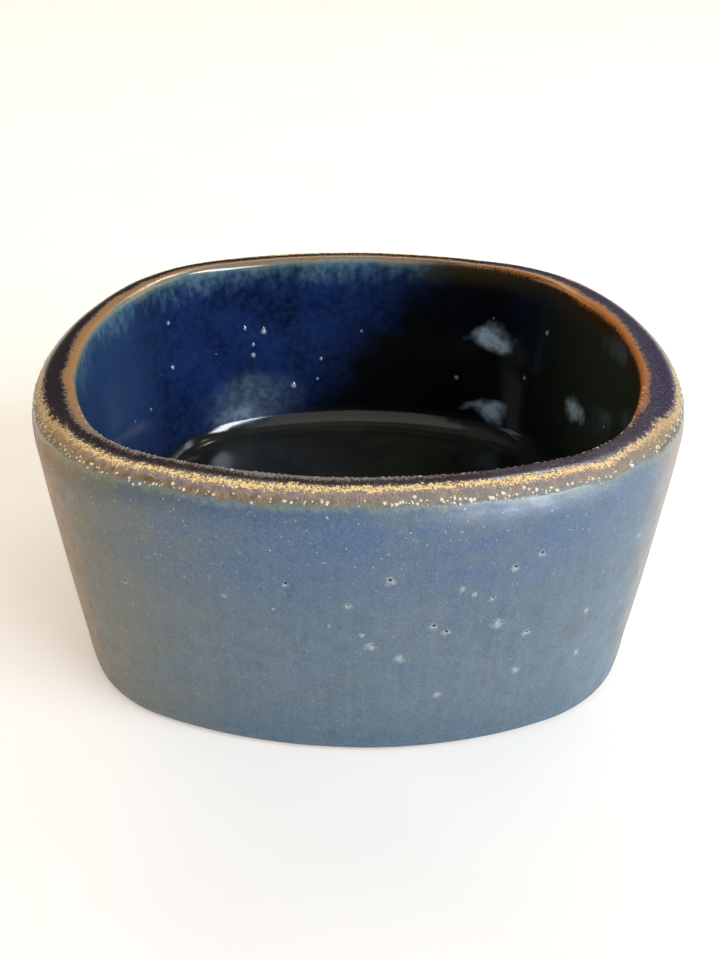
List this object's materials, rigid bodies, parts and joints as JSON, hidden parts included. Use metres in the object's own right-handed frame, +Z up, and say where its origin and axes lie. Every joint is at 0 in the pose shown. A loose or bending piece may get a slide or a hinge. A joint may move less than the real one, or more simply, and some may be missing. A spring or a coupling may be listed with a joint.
{
  "type": "handleless shaving mug",
  "caption": "Low rounded-square glazed stoneware bowl with a thick rolled lip and a bare foot ring, for working up shaving lather with a brush.",
  "frame": {"origin": "on the table, under the middle of the foot ring", "axes": "+Z up out of the bowl; X and Y each square to a pair of the four gently curved sides"},
  "size_m": [0.12, 0.12, 0.0515],
  "materials": {
    "bare_stoneware": "matte, unglazed, fine grog",
    "satin_blue_glaze": "satin, mottled blue-grey with pinholes",
    "tan_break_glaze": "satin gloss, speckled tan with pale beads",
    "aubergine_glaze": "satin gloss, dark purple-brown",
    "rust_break_glaze": "gloss, rust brown where the glaze runs thin",
    "cobalt_gloss_glaze": "high gloss, deep cobalt with a mottled teal edge"
  },
  "bodies": {
    "root": {"stoneware_body": "bare_stoneware", "wall_glaze": "satin_blue_glaze", "lip_outer_glaze": "tan_break_glaze", "lip_crest_glaze": "aubergine_glaze", "lip_inner_glaze": "rust_break_glaze", "bowl_glaze": "cobalt_gloss_glaze"}
  },
  "joints": []
}
